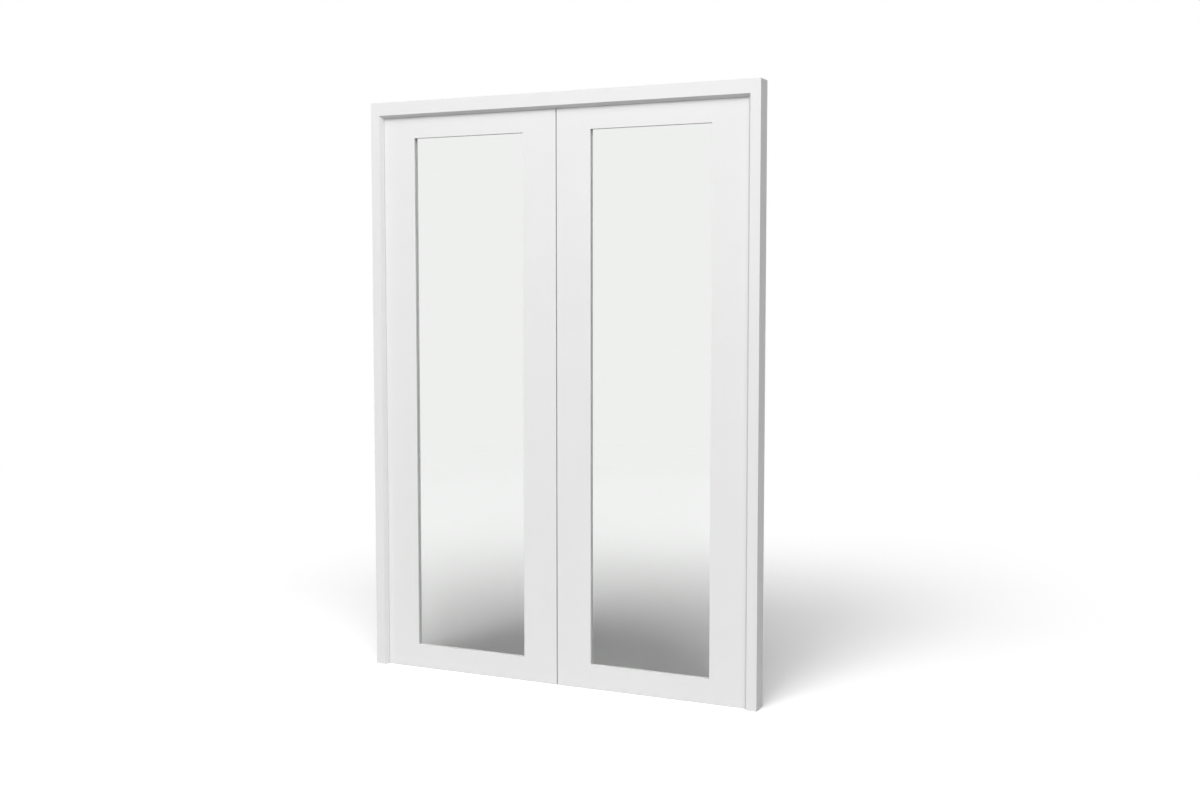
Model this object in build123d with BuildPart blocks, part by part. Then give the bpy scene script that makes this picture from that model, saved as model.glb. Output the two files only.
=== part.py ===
from build123d import *
import os
from math import ceil, hypot

# A pair of glazed french doors in their frame, in millimetres.
# X runs to the right as seen from the front, Y from the front to the back and Z up from the floor.
# The origin is the middle of the closed doors' footprint on the floor.
# The leaves close against a stop at the front and swing to the back.
# A piece that comes left and right is made once for each side: -1 is the left side, 1 the right.

# Frame
frame_width = 1510.0
frame_height = 2100.0
frame_depth = 66.0
jamb_face = 36.0
head_face = 47.0
jamb_rebate_thickness = 34.0
head_rebate_thickness = 45.0
stop_depth = 16.5
stop_splay = 9.5

# Gaps round the leaves
edge_gap = 2.5
seal_gap = 2.5
floor_gap = 1.0
passing_clearance = 0.1

# Leaves
leaf_thickness = 44.0
hinge_stile_width = 139.0
meeting_stile_width = 130.5
top_rail_height = 85.5
bottom_rail_height = 85.5
front_lip = 8.0
glazing_rebate = 14.0

# Dowels that join rails to stiles
dowel_radius = 6.0
dowel_length = 100.0
dowel_spacing = 40.0
dowel_end_room = 0.5

# Glass and what holds it
glass_thickness = 5.0
glass_edge_room = 3.0
tape_thickness = 1.0
tape_width = 8.0
tape_set_back = 0.2
block_length = 60.0
bead_nose = 6.5
bead_back_flat = 1.5
bead_pin_radius = 0.8
bead_pin_bite = 16.0
bead_pin_spacing = 300.0

# Hinges
hinge_height = 100.0
hinge_plate_width = 35.0
hinge_plate_thickness = 2.5
barrel_radius = 5.5
barrel_clearance = 0.3
knuckle_count = 5
knuckle_gap = 0.4
pin_radius = 3.0
pin_clearance = 0.05
pin_head_radius = 4.5
pin_head_height = 2.0
top_hinge_drop = 170.0
bottom_hinge_rise = 226.0

# Screws
hinge_screw_radius = 2.0
hinge_screw_head_radius = 4.0
hinge_screw_length = 28.0
hinge_screw_pitch = 25.0
hinge_screw_stagger = 5.0
hinge_screw_count = 4
corner_screw_radius = 2.5
corner_screw_head_radius = 5.0
corner_screw_length = 90.0
corner_screw_pitch = 30.0
screw_clearance = 0.05
screw_tip = 3.0

# Holes in the head that take the screws into a lintel
fixing_radius = 4.0
fixing_sink_radius = 8.0
fixing_count = 4
fixing_spacing = 400.0

# Seals in the stop
seal_width = 6.0
seal_edge_room = 3.5
seal_base = 0.8
soft_clearance = 0.3

# Magnetic catches at the top of each leaf
catch_length = 40.0
catch_reach = 60.0
magnet_let_in = 3.0
magnet_foot = 3.0
keeper_height = 8.0
keeper_thickness = 1.5

# Fit of one piece let into another
let_in_clearance = 0.1

# Places of the frame
overall_depth = frame_depth + barrel_clearance + 2 * barrel_radius
front_y = -overall_depth / 2
back_y = front_y + frame_depth
stop_back_y = front_y + stop_depth
outer_x = frame_width / 2
face_x = outer_x - jamb_face
stop_x = face_x - stop_splay
rebate_x = outer_x - jamb_rebate_thickness
face_z = frame_height - head_face
stop_z = face_z - stop_splay
rebate_z = frame_height - head_rebate_thickness

# Hinge axis, behind the frame and over the middle of the gap at the leaf's edge
axis_x = rebate_x - edge_gap / 2
axis_y = back_y + barrel_radius + barrel_clearance

# Places of the leaves. The gap between them is what both need to swing past each other.
leaf_front_y = stop_back_y + seal_gap
leaf_back_y = leaf_front_y + leaf_thickness
leaf_bottom = floor_gap
leaf_top = rebate_z - edge_gap
leaf_height = leaf_top - leaf_bottom
leaf_edge_x = rebate_x - edge_gap
corner_growth = hypot(axis_x, axis_y - leaf_front_y) - axis_x
meeting_x = corner_growth + passing_clearance

# Sight lines of the glass and the layers behind the front lip
sight_outer = leaf_edge_x - hinge_stile_width
sight_inner = meeting_x + meeting_stile_width
sight_low = leaf_bottom + bottom_rail_height
sight_high = leaf_top - top_rail_height
pane_x = (sight_outer + sight_inner) / 2
pane_z = (sight_high + sight_low) / 2
sight_width = sight_outer - sight_inner
sight_height = sight_high - sight_low
lip_back_y = leaf_front_y + front_lip
glass_front_y = lip_back_y + tape_thickness
glass_back_y = glass_front_y + glass_thickness
bead_front_y = glass_back_y + tape_thickness
glass_cover = glazing_rebate - glass_edge_room
bead_pin_y = bead_front_y + bead_nose / 2

# Hinge heights, each the middle of a hinge
low_hinge_z = leaf_bottom + bottom_hinge_rise
high_hinge_z = leaf_top - top_hinge_drop
hinge_heights = {"lower": low_hinge_z, "middle": (low_hinge_z + high_hinge_z) / 2, "upper": high_hinge_z}
knuckle_pitch = hinge_height / knuckle_count
plate_inner_y = axis_y - hinge_plate_width
frame_screw_y = (plate_inner_y + back_y) / 2
leaf_screw_y = (plate_inner_y + leaf_back_y) / 2

side_names = {-1: "left", 1: "right"}
os.makedirs("parts", exist_ok=True)


def save(builder, name):
    """Labels a finished piece and writes it."""
    builder.part.label = name
    export_step(builder.part, f"parts/{name}.step")


def plan_rectangle(level, x_from, x_to, y_from, y_to):
    """A rectangle seen from above, at a height."""
    with BuildSketch(Plane.XY.offset(level)) as outline:
        with Locations(((x_from + x_to) / 2, (y_from + y_to) / 2)):
            Rectangle(abs(x_to - x_from), abs(y_to - y_from))
    return outline.sketch


def plan_circle(level, side, radius):
    """A circle round a hinge axis seen from above, at a height."""
    with BuildSketch(Plane.XY.offset(level)) as outline:
        with Locations((side * axis_x, axis_y)):
            Circle(radius)
    return outline.sketch


def countersunk_screw(shank_radius, head_radius, length):
    """A screw with the top of its head at the origin, pointing down."""
    head_height = head_radius - shank_radius
    with BuildPart() as screw:
        with BuildSketch(Plane.XZ):
            with BuildLine():
                Polyline(
                    (0, 0),
                    (head_radius, 0),
                    (shank_radius, -head_height),
                    (shank_radius, -length + screw_tip),
                    (0, -length),
                    close=True,
                )
            make_face()
        revolve(axis=Axis.Z)
    return screw.part


def group_of(solid, places):
    """Copies of one small solid at several places, as one node."""
    with BuildPart() as group:
        with Locations(*places):
            add(solid)
    return group


# Where small pieces go. Each place is a plane whose Z points out of the wood.

def hinge_screw_places(side, height, member_y, surface_x, outward):
    """Staggered places on one hinge plate."""
    places = []
    for index in range(hinge_screw_count):
        rise = (index - (hinge_screw_count - 1) / 2) * hinge_screw_pitch
        shift = hinge_screw_stagger * (1 if index % 2 else -1)
        origin = (side * surface_x, member_y + shift, height + rise)
        places.append(Plane(origin=origin, z_dir=(outward * side, 0, 0)))
    return places


def frame_plate_screws(side, height):
    return hinge_screw_places(side, height, frame_screw_y, rebate_x, -1)


def leaf_plate_screws(side, height):
    return hinge_screw_places(side, height, leaf_screw_y, leaf_edge_x, 1)


def all_heights(places_of, side):
    """The places on all three hinges of one side."""
    return [place for height in hinge_heights.values() for place in places_of(side, height)]


def corner_screw_places(side):
    """Two screws down through the head into the end of a jamb."""
    jamb_middle = side * (outer_x + rebate_x) / 2
    depth_middle = (front_y + back_y) / 2
    steps = (-corner_screw_pitch / 2, corner_screw_pitch / 2)
    return [Plane(origin=(jamb_middle, depth_middle + step, frame_height)) for step in steps]


def fixing_places():
    """A line of holes along the rebate of the head, hidden by the closed leaves."""
    middle = (leaf_front_y + leaf_back_y) / 2
    steps = [(index - (fixing_count - 1) / 2) * fixing_spacing for index in range(fixing_count)]
    return [Plane(origin=(step, middle, rebate_z), z_dir=(0, 0, -1)) for step in steps]


def dowel_places(side, sight_x, toward, rail_middle):
    """Dowels where a rail meets a stile. Z points out of the stile."""
    middle = (leaf_front_y + leaf_back_y) / 2
    steps = (-dowel_spacing / 2, dowel_spacing / 2)
    return [
        Plane(origin=(side * sight_x, middle, rail_middle + step), z_dir=(-toward * side, 0, 0))
        for step in steps
    ]


def spread(length):
    """Even steps about the middle of a bead, as far apart as the pins may be."""
    count = ceil(length / bead_pin_spacing)
    return [(index - (count - 1) / 2) * length / count for index in range(count)]


def upright_pin_places(side, sight_x, toward):
    """Pins through an upright bead into its stile."""
    return [
        Plane(origin=(side * sight_x, bead_pin_y, pane_z + step), z_dir=(-toward * side, 0, 0))
        for step in spread(sight_height)
    ]


def level_pin_places(side, sight_z, toward):
    """Pins through a level bead into its rail."""
    return [
        Plane(origin=(side * pane_x + step, bead_pin_y, sight_z), z_dir=(0, 0, -toward))
        for step in spread(sight_width)
    ]


top_rail_middle = (sight_high + glazing_rebate + leaf_top) / 2
bottom_rail_middle = (sight_low - glazing_rebate + leaf_bottom) / 2

# Frame

def head_section():
    """The head seen from the side. Its stop is splayed like those of the jambs."""
    with BuildSketch(Plane.YZ) as section:
        with BuildLine():
            Polyline(
                (front_y, frame_height),
                (front_y, face_z),
                (stop_back_y, stop_z),
                (stop_back_y, rebate_z),
                (back_y, rebate_z),
                (back_y, frame_height),
                close=True,
            )
        make_face()
    return section.sketch


def make_jamb(side):
    """An upright of the frame, with its top end scribed to the head that lies on it."""
    with BuildPart() as jamb:
        with BuildSketch():
            with BuildLine():
                Polyline(
                    (side * outer_x, front_y),
                    (side * face_x, front_y),
                    (side * stop_x, stop_back_y),
                    (side * rebate_x, stop_back_y),
                    (side * rebate_x, back_y),
                    (side * outer_x, back_y),
                    close=True,
                )
            make_face()
        extrude(amount=frame_height)
        extrude(head_section(), amount=outer_x, both=True, mode=Mode.SUBTRACT)
        for height in hinge_heights.values():
            level = height - hinge_height / 2 - let_in_clearance
            recess_x = rebate_x + hinge_plate_thickness
            recess_y = plate_inner_y - let_in_clearance
            recess = plan_rectangle(level, side * rebate_x, side * recess_x, recess_y, back_y)
            extrude(recess, amount=hinge_height + 2 * let_in_clearance, mode=Mode.SUBTRACT)
        with Locations(*all_heights(frame_plate_screws, side)):
            Hole(hinge_screw_radius + screw_clearance, depth=hinge_screw_length + screw_clearance)
        with Locations(*corner_screw_places(side)):
            Hole(corner_screw_radius + screw_clearance, depth=corner_screw_length + screw_clearance)
    return jamb


jambs = {side: make_jamb(side) for side in side_names}

with BuildPart() as head_jamb:
    extrude(head_section(), amount=outer_x, both=True)
    for side in side_names:
        with Locations(*corner_screw_places(side)):
            CounterSinkHole(
                corner_screw_radius + screw_clearance,
                corner_screw_head_radius + screw_clearance,
                depth=corner_screw_length,
                counter_sink_angle=90,
            )
        magnet_from = side * (catch_reach - catch_length / 2 - let_in_clearance)
        magnet_to = side * (catch_reach + catch_length / 2 + let_in_clearance)
        pocket_y = stop_back_y - magnet_let_in
        pocket = plan_rectangle(stop_z + magnet_foot, magnet_from, magnet_to, pocket_y, stop_back_y)
        extrude(pocket, amount=rebate_z - stop_z - magnet_foot, mode=Mode.SUBTRACT)
    with Locations(*fixing_places()):
        CounterSinkHole(
            fixing_radius,
            fixing_sink_radius,
            depth=2 * head_rebate_thickness,
            counter_sink_angle=90,
        )

save(jambs[-1], "jamb_left")
save(jambs[1], "jamb_right")
save(head_jamb, "head_jamb")

corner_screw = countersunk_screw(corner_screw_radius, corner_screw_head_radius, corner_screw_length)
corner_places = [place for side in side_names for place in corner_screw_places(side)]
save(group_of(corner_screw, corner_places), "frame_corner_screws")

# Seals. Each is a soft strip with a domed back that lies just short of the closed leaf.

def seal_section():
    """The strip's section about its middle, with its flat side on the stop."""
    with BuildSketch(Plane.XY) as section:
        with BuildLine():
            Polyline(
                (-seal_width / 2, seal_base),
                (-seal_width / 2, 0),
                (seal_width / 2, 0),
                (seal_width / 2, seal_base),
            )
            ThreePointArc(
                (seal_width / 2, seal_base),
                (0, seal_gap - soft_clearance),
                (-seal_width / 2, seal_base),
            )
        make_face()
    return section.sketch


seal_x = rebate_x - seal_edge_room - seal_width / 2
seal_z = rebate_z - seal_edge_room - seal_width / 2
seal_end_z = seal_z - seal_width / 2

for side, side_name in side_names.items():
    with BuildPart() as jamb_seal:
        upright = Plane(origin=(side * seal_x, stop_back_y, leaf_bottom), x_dir=(1, 0, 0), z_dir=(0, 0, 1))
        extrude(upright * seal_section(), amount=seal_end_z - leaf_bottom)
    save(jamb_seal, f"seal_{side_name}")

with BuildPart() as seal_head:
    level = Plane(origin=(0, stop_back_y, seal_z), x_dir=(0, 0, 1), z_dir=(-1, 0, 0))
    extrude(level * seal_section(), amount=seal_x + seal_width / 2, both=True)
    # The strip is cut away round both catches.
    for side in side_names:
        cut_from = side * (catch_reach - catch_length / 2 - soft_clearance)
        cut_to = side * (catch_reach + catch_length / 2 + soft_clearance)
        gap = plan_rectangle(stop_z, cut_from, cut_to, stop_back_y, leaf_front_y)
        extrude(gap, amount=rebate_z - stop_z, mode=Mode.SUBTRACT)
save(seal_head, "seal_head")

# Catches. The magnets are let into the stop of the head, and their keepers into the leaves.

with BuildPart() as catch_magnets:
    for side in side_names:
        magnet_from = side * (catch_reach - catch_length / 2)
        magnet_to = side * (catch_reach + catch_length / 2)
        magnet_y = stop_back_y - magnet_let_in
        face_y = leaf_front_y - soft_clearance
        block = plan_rectangle(stop_z + magnet_foot, magnet_from, magnet_to, magnet_y, face_y)
        extrude(block, amount=rebate_z - stop_z - magnet_foot)
save(catch_magnets, "catch_magnets")

# Hinges

def knuckle_levels(height, owned_by_frame):
    """The foot of every knuckle space that belongs to the frame's plate, or to the leaf's."""
    foot = height - hinge_height / 2
    return [
        foot + index * knuckle_pitch
        for index in range(knuckle_count)
        if (index % 2 == 0) == owned_by_frame
    ]


def make_hinge_plate(side, height, owned_by_frame, surface_x, screw_places):
    """A flat plate let in flush, rolled into knuckles at the axis."""
    into_wood = 1 if owned_by_frame else -1
    hidden_x = surface_x + into_wood * hinge_plate_thickness
    with BuildPart() as plate:
        foot = height - hinge_height / 2
        flat = plan_rectangle(foot, side * surface_x, side * hidden_x, plate_inner_y, axis_y)
        extrude(flat, amount=hinge_height)
        for level in knuckle_levels(height, not owned_by_frame):
            room = plan_circle(level, side, barrel_radius + knuckle_gap)
            extrude(room, amount=knuckle_pitch, mode=Mode.SUBTRACT)
        for level in knuckle_levels(height, owned_by_frame):
            knuckle = plan_circle(level + knuckle_gap / 2, side, barrel_radius)
            extrude(knuckle, amount=knuckle_pitch - knuckle_gap)
        bore = plan_circle(foot, side, pin_radius + pin_clearance)
        extrude(bore, amount=hinge_height, mode=Mode.SUBTRACT)
        with Locations(*screw_places):
            CounterSinkHole(
                hinge_screw_radius + screw_clearance,
                hinge_screw_head_radius + screw_clearance,
                depth=hinge_plate_thickness,
                counter_sink_angle=90,
            )
    return plate


def make_hinge_pin(side, height):
    """A loose pin with a domed head that rests on the top knuckle."""
    foot = height - hinge_height / 2
    head_level = foot + hinge_height
    with BuildPart() as pin:
        extrude(plan_circle(foot, side, pin_radius), amount=hinge_height)
        extrude(plan_circle(head_level, side, pin_head_radius), amount=pin_head_height)
        fillet(pin.edges().group_by(Axis.Z)[-1], radius=pin_head_height / 2)
    return pin


for side, side_name in side_names.items():
    for level_name, height in hinge_heights.items():
        frame_plate = make_hinge_plate(side, height, True, rebate_x, frame_plate_screws(side, height))
        save(frame_plate, f"{side_name}_{level_name}_hinge_frame_plate")
        door_plate = make_hinge_plate(side, height, False, leaf_edge_x, leaf_plate_screws(side, height))
        save(door_plate, f"{side_name}_{level_name}_hinge_door_plate")
        save(make_hinge_pin(side, height), f"{side_name}_{level_name}_hinge_pin")

hinge_screw = countersunk_screw(hinge_screw_radius, hinge_screw_head_radius, hinge_screw_length)
frame_places = [place for side in side_names for place in all_heights(frame_plate_screws, side)]
save(group_of(hinge_screw, frame_places), "frame_hinge_screws")

# Leaves

def make_stile(side, sight_x, edge_x):
    """An upright of a leaf, over its full height, rebated at the back for the glass."""
    toward = 1 if edge_x > sight_x else -1
    rebate_end = sight_x + toward * glazing_rebate
    with BuildPart() as stile:
        body = plan_rectangle(leaf_bottom, side * sight_x, side * edge_x, leaf_front_y, leaf_back_y)
        extrude(body, amount=leaf_height)
        foot = sight_low - glazing_rebate
        room = plan_rectangle(foot, side * sight_x, side * rebate_end, lip_back_y, leaf_back_y)
        extrude(room, amount=sight_height + 2 * glazing_rebate, mode=Mode.SUBTRACT)
        for rail_middle in (top_rail_middle, bottom_rail_middle):
            with Locations(*dowel_places(side, sight_x, toward, rail_middle)):
                Hole(dowel_radius + let_in_clearance, depth=dowel_length / 2 + dowel_end_room)
        with Locations(*upright_pin_places(side, sight_x, toward)):
            Hole(bead_pin_radius + screw_clearance, depth=glazing_rebate + bead_pin_bite + screw_clearance)
    return stile


def make_hinge_stile(side):
    """The stile that carries the leaf's three hinge plates."""
    with BuildPart() as stile:
        add(make_stile(side, sight_outer, leaf_edge_x).part)
        for height in hinge_heights.values():
            level = height - hinge_height / 2 - let_in_clearance
            recess_x = leaf_edge_x - hinge_plate_thickness
            recess_y = plate_inner_y - let_in_clearance
            recess = plan_rectangle(level, side * recess_x, side * leaf_edge_x, recess_y, leaf_back_y)
            extrude(recess, amount=hinge_height + 2 * let_in_clearance, mode=Mode.SUBTRACT)
        with Locations(*all_heights(leaf_plate_screws, side)):
            Hole(hinge_screw_radius + screw_clearance, depth=hinge_screw_length + screw_clearance)
    return stile


def make_meeting_stile(side):
    """The stile in the middle, with the recess of the catch's keeper at its top."""
    with BuildPart() as stile:
        add(make_stile(side, sight_inner, meeting_x).part)
        keeper_from = side * (catch_reach - catch_length / 2 - let_in_clearance)
        keeper_to = side * (catch_reach + catch_length / 2 + let_in_clearance)
        level = leaf_top - keeper_height
        keeper_back = leaf_front_y + keeper_thickness
        recess = plan_rectangle(level, keeper_from, keeper_to, leaf_front_y, keeper_back)
        extrude(recess, amount=keeper_height, mode=Mode.SUBTRACT)
    return stile


def make_rail(side, sight_z, edge_z, rail_middle):
    """A level member of a leaf between its stiles, rebated at the back for the glass."""
    toward = 1 if edge_z > sight_z else -1
    rebate_end = sight_z + toward * glazing_rebate
    middle = Plane(origin=(side * pane_x, 0, 0), x_dir=(0, 1, 0), z_dir=(1, 0, 0))
    with BuildPart() as rail:
        with BuildSketch(middle):
            with BuildLine():
                Polyline(
                    (leaf_front_y, sight_z),
                    (leaf_front_y, edge_z),
                    (leaf_back_y, edge_z),
                    (leaf_back_y, rebate_end),
                    (lip_back_y, rebate_end),
                    (lip_back_y, sight_z),
                    close=True,
                )
            make_face()
        extrude(amount=sight_width / 2, both=True)
        for sight_x, stile_toward in ((sight_outer, 1), (sight_inner, -1)):
            with Locations(*dowel_places(side, sight_x, -stile_toward, rail_middle)):
                Hole(dowel_radius + let_in_clearance, depth=dowel_length / 2 + dowel_end_room)
        with Locations(*level_pin_places(side, sight_z, toward)):
            Hole(bead_pin_radius + screw_clearance, depth=glazing_rebate + bead_pin_bite + screw_clearance)
    return rail


def make_dowels(side):
    """The glued dowels in the four corners of a leaf."""
    with BuildPart() as dowel:
        Cylinder(dowel_radius, dowel_length)
    places = []
    for sight_x in (sight_outer, sight_inner):
        for rail_middle in (top_rail_middle, bottom_rail_middle):
            places += dowel_places(side, sight_x, 1, rail_middle)
    return group_of(dowel.part, places)


def pane_outline(y, side, cover):
    """A rectangle seen from the front, larger than the sight opening by a cover all round."""
    front = Plane(origin=(side * pane_x, y, pane_z), x_dir=(-1, 0, 0), z_dir=(0, 1, 0))
    with BuildSketch(front) as outline:
        Rectangle(sight_width + 2 * cover, sight_height + 2 * cover)
    return outline.sketch


def make_glass(side):
    """The clear pane."""
    with BuildPart() as glass:
        extrude(pane_outline(glass_front_y, side, glass_cover), amount=glass_thickness)
    return glass


def make_tape(side, y):
    """A ring of glazing tape that beds one face of the pane."""
    with BuildPart() as tape:
        extrude(pane_outline(y, side, tape_set_back + tape_width), amount=tape_thickness)
        extrude(pane_outline(y, side, tape_set_back), amount=tape_thickness, mode=Mode.SUBTRACT)
    return tape


def make_setting_blocks(side):
    """Two blocks that carry the pane on the bottom rail."""
    with BuildPart() as blocks:
        for quarter in (-1, 1):
            middle = side * pane_x + quarter * sight_width / 4
            foot = sight_low - glazing_rebate
            ends = (middle - block_length / 2, middle + block_length / 2)
            block = plan_rectangle(foot, *ends, glass_front_y, glass_back_y)
            extrude(block, amount=glass_edge_room)
    return blocks


def make_bead(origin, outward, along, half_length, pin_places):
    """A glazing bead with a straight nose and a splayed back, mitred at both ends."""
    section_plane = Plane(origin=origin, x_dir=outward, z_dir=along)
    bead_depth = leaf_back_y - bead_front_y
    with BuildPart() as bead:
        with BuildSketch(section_plane):
            with BuildLine():
                Polyline(
                    (0, 0),
                    (0, bead_nose),
                    (glazing_rebate - bead_back_flat, bead_depth),
                    (glazing_rebate, bead_depth),
                    (glazing_rebate, 0),
                    close=True,
                )
            make_face()
        extrude(amount=half_length + glazing_rebate, both=True)
        for end in (-1, 1):
            corner = Vector(*origin) + Vector(*along) * end * half_length
            mitre = Plane(origin=corner, z_dir=Vector(*along) * end - Vector(*outward))
            split(bisect_by=mitre, keep=Keep.BOTTOM)
        with Locations(*pin_places):
            Hole(bead_pin_radius + screw_clearance, depth=2 * glazing_rebate)
    return bead


def save_beads(side, leaf_name):
    """The four beads round one pane and the pins that hold them."""
    for name, sight_x, toward in (("outer", sight_outer, 1), ("inner", sight_inner, -1)):
        origin = (side * sight_x, bead_front_y, pane_z)
        direction = toward * side
        places = upright_pin_places(side, sight_x, toward)
        bead = make_bead(origin, (direction, 0, 0), (0, 0, direction), sight_height / 2, places)
        save(bead, f"{leaf_name}_{name}_bead")
    for name, sight_z, toward in (("top", sight_high, 1), ("bottom", sight_low, -1)):
        origin = (side * pane_x, bead_front_y, sight_z)
        places = level_pin_places(side, sight_z, toward)
        bead = make_bead(origin, (0, 0, toward), (-toward, 0, 0), sight_width / 2, places)
        save(bead, f"{leaf_name}_{name}_bead")


def make_bead_pins(side):
    """Headless pins, flush with the noses of the beads."""
    length = glazing_rebate + bead_pin_bite
    with BuildPart() as pin:
        Cylinder(bead_pin_radius, length, align=(Align.CENTER, Align.CENTER, Align.MAX))
    places = upright_pin_places(side, sight_outer, 1) + upright_pin_places(side, sight_inner, -1)
    places += level_pin_places(side, sight_high, 1) + level_pin_places(side, sight_low, -1)
    return group_of(pin.part, places)


def make_keeper(side):
    """The steel plate that the magnet holds, flush with the leaf's face and top."""
    keeper_from = side * (catch_reach - catch_length / 2)
    keeper_to = side * (catch_reach + catch_length / 2)
    keeper_back = leaf_front_y + keeper_thickness
    with BuildPart() as keeper:
        level = leaf_top - keeper_height
        outline = plan_rectangle(level, keeper_from, keeper_to, leaf_front_y, keeper_back)
        extrude(outline, amount=keeper_height)
    return keeper


for side, side_name in side_names.items():
    leaf_name = f"{side_name}_leaf"
    save(make_hinge_stile(side), f"{leaf_name}_hinge_stile")
    save(make_meeting_stile(side), f"{leaf_name}_meeting_stile")
    save(make_rail(side, sight_high, leaf_top, top_rail_middle), f"{leaf_name}_top_rail")
    save(make_rail(side, sight_low, leaf_bottom, bottom_rail_middle), f"{leaf_name}_bottom_rail")
    save(make_dowels(side), f"{leaf_name}_dowels")
    save(make_glass(side), f"{leaf_name}_glass")
    save(make_tape(side, lip_back_y), f"{leaf_name}_front_glazing_tape")
    save(make_tape(side, glass_back_y), f"{leaf_name}_back_glazing_tape")
    save(make_setting_blocks(side), f"{leaf_name}_setting_blocks")
    save_beads(side, leaf_name)
    save(make_bead_pins(side), f"{leaf_name}_bead_pins")
    save(make_keeper(side), f"{leaf_name}_catch_keeper")
    save(group_of(hinge_screw, all_heights(leaf_plate_screws, side)), f"{leaf_name}_hinge_screws")
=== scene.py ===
import math

import bmesh
import bpy
from mathutils import Matrix, Vector


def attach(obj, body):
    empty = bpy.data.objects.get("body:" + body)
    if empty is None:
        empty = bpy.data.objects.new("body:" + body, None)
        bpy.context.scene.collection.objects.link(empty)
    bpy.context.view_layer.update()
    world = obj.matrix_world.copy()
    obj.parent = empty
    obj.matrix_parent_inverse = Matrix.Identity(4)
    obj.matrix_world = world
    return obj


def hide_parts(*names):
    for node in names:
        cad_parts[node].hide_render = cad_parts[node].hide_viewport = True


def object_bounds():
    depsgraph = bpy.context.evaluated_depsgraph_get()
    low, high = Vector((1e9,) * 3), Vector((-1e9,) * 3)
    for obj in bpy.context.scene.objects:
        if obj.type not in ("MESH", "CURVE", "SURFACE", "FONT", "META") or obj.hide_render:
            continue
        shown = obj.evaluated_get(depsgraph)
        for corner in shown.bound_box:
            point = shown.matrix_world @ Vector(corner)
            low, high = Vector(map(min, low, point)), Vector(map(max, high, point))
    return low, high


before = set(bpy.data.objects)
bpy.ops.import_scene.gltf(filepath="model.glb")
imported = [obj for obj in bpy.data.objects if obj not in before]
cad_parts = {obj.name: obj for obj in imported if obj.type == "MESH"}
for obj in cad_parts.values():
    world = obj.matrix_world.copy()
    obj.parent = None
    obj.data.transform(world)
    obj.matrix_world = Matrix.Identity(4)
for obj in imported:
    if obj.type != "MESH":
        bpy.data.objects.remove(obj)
cad_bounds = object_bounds()

# Camera, in metres and degrees. The picture is 1200 by 788.
picture_width = 1200
focal_pixels = 1424.7
sensor_width = 36.0
camera_place = (2.2498, -4.5167, 1.397)
camera_turn = 24.83
camera_dip = 4.0

# Soft distant lamps in front, for the doors and for the floor. Each has its degrees from
# straight in front towards the right, its degrees up, and its strength.
door_lamps = (
    (10.0, 45.0, 1.32),
    (-15.0, 35.0, 0.38),
    (35.0, 35.0, 0.90),
)
floor_lamps = (
    (10.0, 55.0, 1.45),
    (-15.0, 35.0, 0.95),
    (35.0, 35.0, 1.05),
)

# Lamps behind the doors, given in the same way, which are kept off the floor
rear_lamps = (
    (-168.0, 18.0, 1.10),
    (-125.0, 18.0, 0.50),
)

# How wide each distant lamp looks, in degrees
distant_spread = 40.0

# A panel lamp in front of the doors and above them, in metres and watts
panel_place = (0.5, -3.2, 4.2)
panel_target = (0.0, 0.0, 2.0)
panel_width = 1.5
panel_power = 52.0

# Light from all around, as a share of the white that is seen there
fill_strength = 0.10

# The floor gives back less light than it shows. It shows brighter away from the doors, and white
# far away, so near the doors it carries a painted shade that deepens their shadow. The reaches are
# where each change starts and ends, in metres from the middle.
floor_level = cad_bounds[0].z
floor_half = 60.0
floor_bounce = 0.365
floor_seen = 1.075
floor_seen_far = 1.17
floor_near_reach = (1.4, 3.6)
floor_white_reach = (5.0, 8.0)

# Shades, from 0 for black to 1 for white, and how far each swings either way
paint_shade = 0.8
paint_swing = 0.025
hinge_steel_shade = 0.42
screw_steel_shade = 0.5
magnet_steel_shade = 0.34
steel_swing = 0.14
tape_shade = 0.57
seal_shade = 0.72
block_shade = 0.2

# Glass
glass_tint = (0.85, 0.862, 0.85, 1.0)
glass_index = 1.5

# Beech, at its darkest and lightest
beech_dark = (0.46, 0.29, 0.17, 1.0)
beech_light = (0.66, 0.46, 0.29, 1.0)

# Roughness of the strips and blocks where they are roughest
tape_roughness = 0.9
seal_roughness = 0.7
block_roughness = 0.5

# How fine the marks are, in marks a metre
paint_strokes = 700.0
paint_stipple = 450.0
paint_clouds = 5.0
glass_ripples = 2.0
steel_lines = 4000.0
steel_clouds = 80.0
strip_pores = 2500.0
beech_flecks = 900.0

# Marks along a piece, as a share of those across it
stroke_stretch = 0.03
ripple_stretch = 0.4
line_stretch = 0.02
fleck_stretch = 0.08

# Depth of each relief, in metres
paint_relief = 0.00012
glass_relief = 0.00002
steel_relief = 0.00003
strip_relief = 0.00005
beech_relief = 0.00005

# Screws, in metres: the radius of the shank and of the head, and the length. Then the length of
# a tip, how many sides a round has, and how near corners are joined.
hinge_screw = (0.0020, 0.0040, 0.028)
corner_screw = (0.0025, 0.0050, 0.090)
screw_tip = 0.003
screw_round = 24
weld_distance = 1e-7

# The cross recess, as shares of the head's radius, how far it narrows downwards, and how far each
# screw is turned from the one before it, in degrees
recess_reach = 0.58
recess_half_width = 0.13
recess_depth = 0.42
recess_taper = 0.72
recess_turn = 37.0

# Where the screws sit, in metres, as in the frame
hinge_mid_heights = (0.227, 1.05475, 1.8825)
hinge_screw_pitch = 0.025
hinge_screw_stagger = 0.005
hinge_screw_count = 4
frame_plate_face = 0.721
leaf_plate_face = 0.7185
frame_plate_middle = 0.01275
leaf_plate_middle = 0.01125
corner_screw_x = 0.738
corner_screw_y = -0.00565
corner_screw_pitch = 0.030
frame_top = 2.1
side_names = {-1: "left", 1: "right"}


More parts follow.
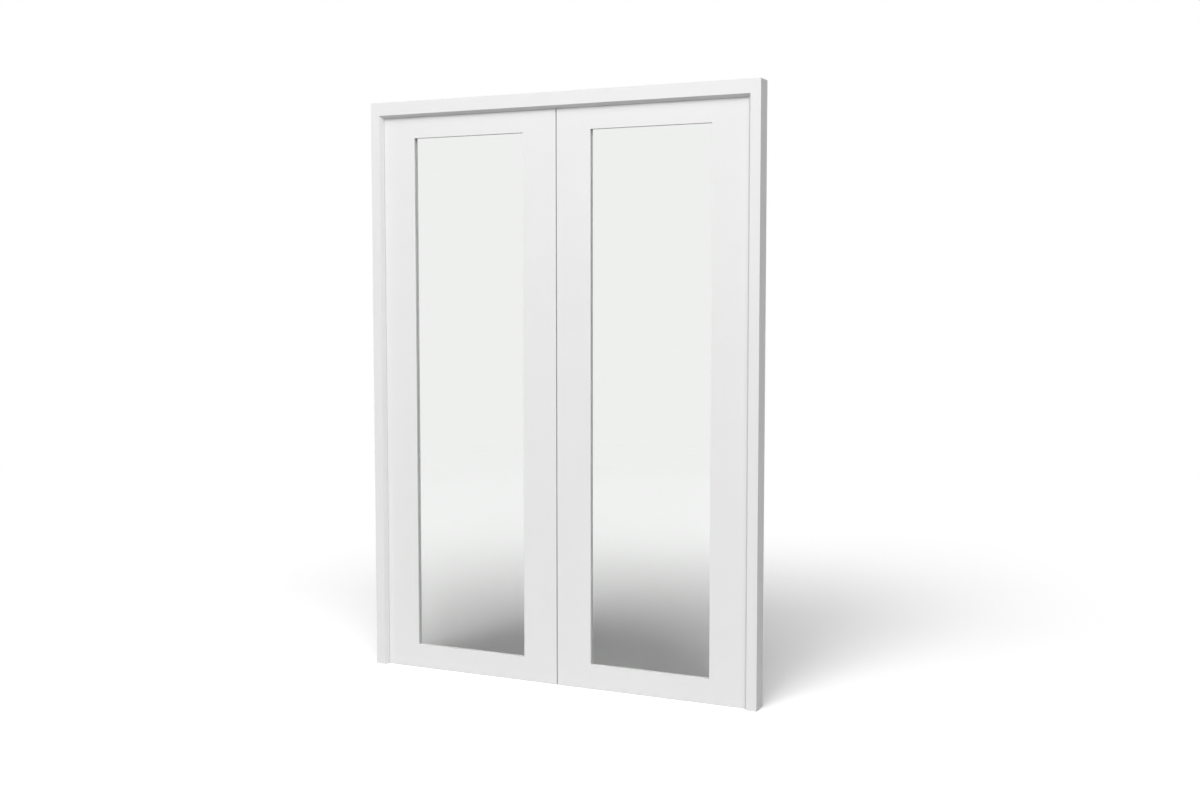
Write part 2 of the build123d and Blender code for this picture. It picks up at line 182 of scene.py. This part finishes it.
class Value:
    """A number that varies over a surface. Arithmetic on it adds Math nodes."""

    def __init__(self, finish, socket):
        self.finish = finish
        self.socket = socket

    def combined(self, operation, first, second):
        """Two numbers through a Math node."""
        node = self.finish.make("Math", {"operation": operation}, {0: first, 1: second})
        return Value(self.finish, node.outputs[0])

    def __add__(self, other):
        return self.combined("ADD", self, other)

    def __radd__(self, other):
        return self.combined("ADD", other, self)

    def __sub__(self, other):
        return self.combined("SUBTRACT", self, other)

    def __rsub__(self, other):
        return self.combined("SUBTRACT", other, self)

    def __mul__(self, other):
        return self.combined("MULTIPLY", self, other)

    def __rmul__(self, other):
        return self.combined("MULTIPLY", other, self)

    def highest(self, other):
        return self.combined("MAXIMUM", self, other)

    def lowest(self, other):
        return self.combined("MINIMUM", self, other)


class Finish:
    """A node tree of a material or the world, with one way to make any node."""

    def __init__(self, name, owner=None):
        self.owner = owner or bpy.data.materials.new(name)
        self.owner.use_nodes = True
        self.tree = self.owner.node_tree
        self.tree.nodes.clear()

    def make(self, kind, settings=None, sockets=None):
        """A node of a type. Its settings are set first, then its sockets."""
        node = self.tree.nodes.new("ShaderNode" + kind)
        for name, value in (settings or {}).items():
            setattr(node, name, value)
        for name, value in (sockets or {}).items():
            self.feed(node.inputs[name], value)
        return node

    def feed(self, socket, value):
        """Sets a socket to a constant, or links it."""
        if isinstance(value, Value):
            value = value.socket
        if isinstance(value, bpy.types.NodeSocket):
            self.tree.links.new(value, socket)
        else:
            socket.default_value = value

    def value(self, socket):
        """A socket as a number to reckon with."""
        return Value(self, socket)

    def place(self, stretch=(1.0, 1.0, 1.0)):
        """The point on the piece, with each direction stretched by a factor."""
        point = self.make("TexCoord").outputs["Object"]
        return self.make("Mapping", None, {"Vector": point, "Scale": stretch}).outputs[0]

    def noise(self, point, scale, detail=2.0, roughness=0.5):
        """Soft marks, about 0 to 1, with a scale in marks a metre."""
        sockets = {"Vector": point, "Scale": scale, "Detail": detail, "Roughness": roughness}
        return self.value(self.make("TexNoise", None, sockets).outputs["Fac"])

    def blend(self, amount, first, second):
        """A colour between two, by a value."""
        sockets = {0: amount, 6: first, 7: second}
        return self.make("Mix", {"data_type": "RGBA"}, sockets).outputs[2]

    def rise(self, amount, limits):
        """0 below the first limit, 1 above the second, and smooth between them."""
        sockets = {"Value": amount, "From Min": limits[0], "From Max": limits[1]}
        node = self.make("MapRange", {"interpolation_type": "SMOOTHSTEP"}, sockets)
        return self.value(node.outputs["Result"])

    def layer(self, amount, first, second):
        """A shader between two, by a value."""
        return self.make("MixShader", None, {0: amount, 1: first.outputs[0], 2: second.outputs[0]})

    def bump(self, height, depth):
        """A surface relief of a depth in metres."""
        return self.make("Bump", None, {"Height": height, "Distance": depth}).outputs[0]

    def finished(self, shader):
        """Ends the material with its surface shader."""
        output = self.make("OutputMaterial")
        self.feed(output.inputs["Surface"], shader)
        return self.owner


def grey(level, warmth=0.0):
    """A grey, or a slightly warm one."""
    return (level + warmth, level, level - warmth, 1.0)


def along_axis(along, share):
    """The stretch that gives marks along one axis a share of their number."""
    return tuple(share if axis == along else 1.0 for axis in "XYZ")


def satin_paint(name, along):
    """White satin paint, laid off with a brush along the piece, over a smooth primer."""
    finish = Finish(name)
    stretch = along_axis(along, stroke_stretch)
    strokes = finish.noise(finish.place(stretch), paint_strokes, 4.0, 0.6)
    stipple = finish.noise(finish.place(), paint_stipple, 2.0)
    cloud = finish.noise(finish.place(), paint_clouds, 4.0, 0.6)
    sheen = 0.6 * cloud + 0.4 * strokes
    dark, light = grey(paint_shade - paint_swing), grey(paint_shade + paint_swing, 0.002)
    sockets = {
        "Base Color": finish.blend(sheen, dark, light),
        "Roughness": 0.3 + 0.2 * sheen + 0.1 * stipple,
        "Specular IOR Level": 0.4,
        "Normal": finish.bump(0.6 * strokes + 0.4 * stipple, paint_relief),
    }
    shader = finish.make("BsdfPrincipled", None, sockets)
    return finish.finished(shader.outputs[0])


def clear_glass():
    """Float glass with a slight grey-green cast."""
    finish = Finish("clear_glass")
    ripple = finish.noise(finish.place(along_axis("Z", ripple_stretch)), glass_ripples, 1.0)
    sockets = {
        "Base Color": glass_tint,
        "Roughness": 0.0,
        "IOR": glass_index,
        "Transmission Weight": 1.0,
        "Normal": finish.bump(ripple, glass_relief),
    }
    shader = finish.make("BsdfPrincipled", None, sockets)
    return finish.finished(shader.outputs[0])


def satin_steel(name, shade, along):
    """Steel with fine brush lines along one direction."""
    finish = Finish(name)
    stretch = along_axis(along, line_stretch)
    lines = finish.noise(finish.place(stretch), steel_lines, 4.0, 0.65)
    cloud = finish.noise(finish.place(), steel_clouds, 4.0, 0.6)
    worn = 0.7 * lines + 0.3 * cloud
    dark, light = grey(shade - steel_swing), grey(shade + steel_swing, 0.006)
    sockets = {
        "Base Color": finish.blend(worn, dark, light),
        "Metallic": 1.0,
        "Roughness": 0.22 + 0.18 * lines + 0.12 * cloud,
        "Normal": finish.bump(lines, steel_relief),
    }
    shader = finish.make("BsdfPrincipled", None, sockets)
    return finish.finished(shader.outputs[0])


def soft_strip(name, shade, roughness):
    """Matt foam, rubber or plastic with a fine skin."""
    finish = Finish(name)
    pores = finish.noise(finish.place(), strip_pores, 2.0)
    sockets = {
        "Base Color": finish.blend(pores, grey(shade - 0.05), grey(shade + 0.03)),
        "Roughness": roughness - 0.1 * pores,
        "Specular IOR Level": 0.3,
        "Normal": finish.bump(pores, strip_relief),
    }
    shader = finish.make("BsdfPrincipled", None, sockets)
    return finish.finished(shader.outputs[0])


def bare_beech():
    """Turned beech with fine flecks along the dowel."""
    finish = Finish("bare_beech")
    flecks = finish.noise(finish.place(along_axis("X", fleck_stretch)), beech_flecks, 3.0)
    sockets = {
        "Base Color": finish.blend(flecks, beech_dark, beech_light),
        "Roughness": 0.6 + 0.15 * flecks,
        "Normal": finish.bump(flecks, beech_relief),
    }
    shader = finish.make("BsdfPrincipled", None, sockets)
    return finish.finished(shader.outputs[0])


def seen_directly(finish):
    """1 where a thing is seen, itself or in glass and gloss, and 0 where it only gives light."""
    path = finish.make("LightPath")
    rays = ("Is Camera Ray", "Is Glossy Ray", "Is Transmission Ray")
    camera, glossy, through = (finish.value(path.outputs[ray]) for ray in rays)
    scattered = finish.value(path.outputs["Diffuse Depth"])
    return camera.highest(glossy).highest(through) * (1.0 - scattered.lowest(1.0))


def coat(node, material):
    """Gives a node of the frame its finish."""
    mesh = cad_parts[node].data
    mesh.materials.clear()
    mesh.materials.append(material)


def coat_everything():
    """Gives each node of the frame its finish, by a word in its name."""
    upright = satin_paint("satin_paint_upright", "Z")
    level = satin_paint("satin_paint_level", "X")
    glass = clear_glass()
    hinge = satin_steel("satin_hinge_steel", hinge_steel_shade, "Z")
    magnet = satin_steel("magnet_case_steel", magnet_steel_shade, "X")
    tape = soft_strip("glazing_tape_foam", tape_shade, tape_roughness)
    seal = soft_strip("white_seal_rubber", seal_shade, seal_roughness)
    block = soft_strip("setting_block_plastic", block_shade, block_roughness)
    beech = bare_beech()
    by_word = {
        "jamb_left": upright,
        "jamb_right": upright,
        "stile": upright,
        "outer_bead": upright,
        "inner_bead": upright,
        "head_jamb": level,
        "rail": level,
        "top_bead": level,
        "bottom_bead": level,
        "_glass": glass,
        "hinge_frame_plate": hinge,
        "hinge_door_plate": hinge,
        "hinge_pin": hinge,
        "keeper": hinge,
        "screws": hinge,
        "bead_pins": upright,
        "catch_magnets": magnet,
        "glazing_tape": tape,
        "seal_": seal,
        "setting_blocks": block,
        "dowels": beech,
    }
    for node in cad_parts:
        word = next(word for word in by_word if word in node)
        coat(node, by_word[word])


def pull(mesh, edges, shift, scale):
    """Extrudes a loop of edges, moves it along Z and scales it about the Z axis."""
    made = bmesh.ops.extrude_edge_only(mesh, edges=edges)["geom"]
    corners = [part for part in made if isinstance(part, bmesh.types.BMVert)]
    bmesh.ops.scale(mesh, vec=(scale, scale, 1.0), verts=corners)
    bmesh.ops.translate(mesh, vec=(0.0, 0.0, shift), verts=corners)
    return [part for part in made if isinstance(part, bmesh.types.BMEdge)]


def rim(mesh):
    """The edges that have a face on one side alone."""
    return [edge for edge in mesh.edges if edge.is_boundary]


def cross_recess(mesh, head_radius):
    """A cross-shaped pocket that opens at the top of a screw's head. Returns its top edge."""
    half_width = head_radius * recess_half_width * recess_taper
    arm = head_radius * (recess_reach - recess_half_width) * recess_taper
    depth = head_radius * recess_depth
    bmesh.ops.create_grid(mesh, x_segments=1, y_segments=1, size=half_width)
    for edge in list(mesh.edges):
        outward = (edge.verts[0].co + edge.verts[1].co).normalized()
        made = bmesh.ops.extrude_edge_only(mesh, edges=[edge])["geom"]
        corners = [part for part in made if isinstance(part, bmesh.types.BMVert)]
        bmesh.ops.translate(mesh, vec=outward * arm, verts=corners)
    bmesh.ops.translate(mesh, vec=(0.0, 0.0, -depth), verts=mesh.verts)
    return pull(mesh, rim(mesh), depth, 1.0 / recess_taper)


def countersunk_screw(shank_radius, head_radius, length):
    """A screw with the top of its head at the origin, pointing down."""
    screw = bmesh.new()
    recess_edge = cross_recess(screw, head_radius)
    circle = bmesh.ops.create_circle(screw, segments=screw_round, radius=head_radius)["verts"]
    head_edge = list({edge for corner in circle for edge in corner.link_edges})
    bmesh.ops.triangle_fill(screw, use_beauty=True, edges=recess_edge + head_edge)
    neck = pull(screw, head_edge, shank_radius - head_radius, shank_radius / head_radius)
    shank_end = pull(screw, neck, screw_tip - length + head_radius - shank_radius, 1.0)
    pull(screw, shank_end, -screw_tip, 0.0)
    bmesh.ops.remove_doubles(screw, verts=screw.verts, dist=weld_distance)
    bmesh.ops.recalc_face_normals(screw, faces=screw.faces)
    mesh = bpy.data.meshes.new("screw")
    screw.to_mesh(mesh)
    screw.free()
    return mesh


def hinge_screw_places(side, surface, middle, outward):
    """Places and directions on the three plates of one side, staggered as on the plates."""
    places = []
    for height in hinge_mid_heights:
        for index in range(hinge_screw_count):
            rise = (index - (hinge_screw_count - 1) / 2) * hinge_screw_pitch
            shift = hinge_screw_stagger * (1 if index % 2 else -1)
            place = Vector((side * surface, middle + shift, height + rise))
            places.append((place, Vector((outward * side, 0.0, 0.0))))
    return places


def set_screws(node, body, size, places, material):
    """Screws with cross recesses in place of a node's plain ones."""
    pattern = countersunk_screw(*size)
    group = bmesh.new()
    for index, (place, outward) in enumerate(places):
        first = len(group.verts)
        group.from_mesh(pattern)
        group.verts.ensure_lookup_table()
        turn = outward.to_track_quat("Z", "Y").to_matrix().to_4x4()
        spin = Matrix.Rotation(math.radians(index * recess_turn), 4, "Z")
        corners = group.verts[first:]
        bmesh.ops.transform(group, matrix=Matrix.Translation(place) @ turn @ spin, verts=corners)
    mesh = bpy.data.meshes.new(node + "_crossed")
    group.to_mesh(mesh)
    group.free()
    mesh.materials.append(material)
    piece = bpy.data.objects.new(node + "_crossed", mesh)
    bpy.context.scene.collection.objects.link(piece)
    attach(piece, body)
    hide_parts(node)


def set_all_screws():
    """Hinge screws in both plates of every hinge, and two screws down through each corner."""
    zinc = satin_steel("zinc_screw_steel", screw_steel_shade, "X")
    frame_places = []
    corner_places = []
    for side, name in side_names.items():
        frame_places += hinge_screw_places(side, frame_plate_face, frame_plate_middle, -1)
        leaf_places = hinge_screw_places(side, leaf_plate_face, leaf_plate_middle, 1)
        set_screws(name + "_leaf_hinge_screws", name + "_leaf", hinge_screw, leaf_places, zinc)
        for step in (-corner_screw_pitch / 2, corner_screw_pitch / 2):
            place = Vector((side * corner_screw_x, corner_screw_y + step, frame_top))
            corner_places.append((place, Vector((0.0, 0.0, 1.0))))
    set_screws("frame_hinge_screws", "frame", hinge_screw, frame_places, zinc)
    set_screws("frame_corner_screws", "frame", corner_screw, corner_places, zinc)


def pale_floor():
    """Plain where it only gives light. Where it is seen, it is bright, with painted shade near the
    doors, and white far away.
    """
    finish = Finish("pale_floor")
    reach = finish.make("VectorMath", {"operation": "LENGTH"}, {0: finish.place()}).outputs["Value"]
    # Painted shade: the seen floor is darker near the doors and brighter farther away
    away = finish.rise(reach, floor_near_reach)
    beyond = finish.rise(reach, floor_white_reach)
    shown = finish.blend(away, grey(floor_seen), grey(floor_seen_far))
    plain = finish.make("BsdfDiffuse", None, {"Color": grey(floor_bounce)})
    bright = finish.make("BsdfDiffuse", None, {"Color": shown})
    white = finish.make("Emission", None, {"Color": grey(1.0), "Strength": 1.0})
    shown = finish.layer(beyond, bright, white)
    mixed = finish.layer(seen_directly(finish), plain, shown)
    return finish.finished(mixed.outputs[0])


def make_floor():
    """A wide pale floor that keeps the doors' shadow."""
    mesh = bpy.data.meshes.new("floor")
    grid = bmesh.new()
    bmesh.ops.create_grid(grid, x_segments=1, y_segments=1, size=floor_half)
    bmesh.ops.translate(grid, vec=(0.0, 0.0, floor_level), verts=grid.verts)
    grid.to_mesh(mesh)
    grid.free()
    mesh.materials.append(pale_floor())
    floor = bpy.data.objects.new("floor", mesh)
    bpy.context.scene.collection.objects.link(floor)
    return floor


def make_world():
    """A white surround that lights the object only softly."""
    world = bpy.data.worlds.new("white_surround")
    bpy.context.scene.world = world
    finish = Finish("white_surround", world)
    seen = seen_directly(finish)
    strength = fill_strength + (1.0 - fill_strength) * seen
    background = finish.make("Background", None, {"Color": grey(1.0), "Strength": strength})
    output = finish.make("OutputWorld")
    finish.feed(output.inputs["Surface"], background.outputs[0])


def aim(light, towards):
    """Points a lamp along a direction."""
    light.rotation_mode = "QUATERNION"
    light.rotation_quaternion = Vector(towards).to_track_quat("-Z", "Y")


def add_lamp(name, kind, settings):
    """A lamp of a kind, at the origin."""
    lamp = bpy.data.lights.new(name, kind)
    for setting, value in settings.items():
        setattr(lamp, setting, value)
    light = bpy.data.objects.new(name, lamp)
    bpy.context.scene.collection.objects.link(light)
    return light


def add_distant_lamp(name, side, rise, strength):
    """A wide soft lamp, far away."""
    side, rise = math.radians(side), math.radians(rise)
    level = math.cos(rise)
    light = add_lamp(name, "SUN", {"energy": strength, "angle": math.radians(distant_spread)})
    light.visible_transmission = False
    aim(light, (-level * math.sin(side), level * math.cos(side), -math.sin(rise)))
    return light


def light_group(name, things, state):
    """Things that alone take part in a lamp's light, for INCLUDE, or take no part, for EXCLUDE."""
    group = bpy.data.collections.new(name)
    for thing in things:
        group.objects.link(thing)
    for entry in group.collection_objects:
        entry.light_linking.link_state = state
    return group


def share_light(light, floor, state):
    """INCLUDE lights the floor alone, and EXCLUDE lights all but the floor."""
    light.light_linking.receiver_collection = light_group(light.name + "_lit", [floor], state)


def pass_panes(light):
    """Lets a lamp's light go through the panes, which would block it otherwise."""
    panes = [thing for node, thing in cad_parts.items() if node.endswith("_glass")]
    light.light_linking.blocker_collection = light_group(light.name + "_passes", panes, "EXCLUDE")


def add_panel_lamp(name):
    """A square panel above the front, which shows in no glass or gloss."""
    light = add_lamp(name, "AREA", {"energy": panel_power, "size": panel_width})
    light.location = panel_place
    aim(light, Vector(panel_target) - Vector(panel_place))
    light.visible_camera = False
    light.visible_glossy = False
    light.visible_transmission = False
    return light


def make_lamps(floor):
    """Most of the light comes from in front. The floor has lamps of its own."""
    for name, state, lamps in (("floor", "INCLUDE", floor_lamps), ("door", "EXCLUDE", door_lamps)):
        lights = []
        for number, lamp in enumerate(lamps, 1):
            lights.append(add_distant_lamp(f"{name}_lamp_{number}", *lamp))
        lights.append(add_panel_lamp(name + "_panel_lamp"))
        for light in lights:
            share_light(light, floor, state)
            if name == "door":
                pass_panes(light)
    for number, lamp in enumerate(rear_lamps, 1):
        light = add_distant_lamp(f"rear_lamp_{number}", *lamp)
        light.visible_glossy = False
        share_light(light, floor, "EXCLUDE")


def make_camera():
    """The camera at the photograph's place."""
    data = bpy.data.cameras.new("camera")
    data.sensor_width = sensor_width
    data.lens = focal_pixels * sensor_width / picture_width
    camera = bpy.data.objects.new("camera", data)
    camera.location = camera_place
    camera.rotation_euler = (math.radians(90.0 - camera_dip), 0.0, math.radians(camera_turn))
    bpy.context.scene.collection.objects.link(camera)
    bpy.context.scene.camera = camera


coat_everything()
set_all_screws()
make_world()
make_lamps(make_floor())
make_camera()
bpy.context.scene.view_settings.view_transform = "Standard"
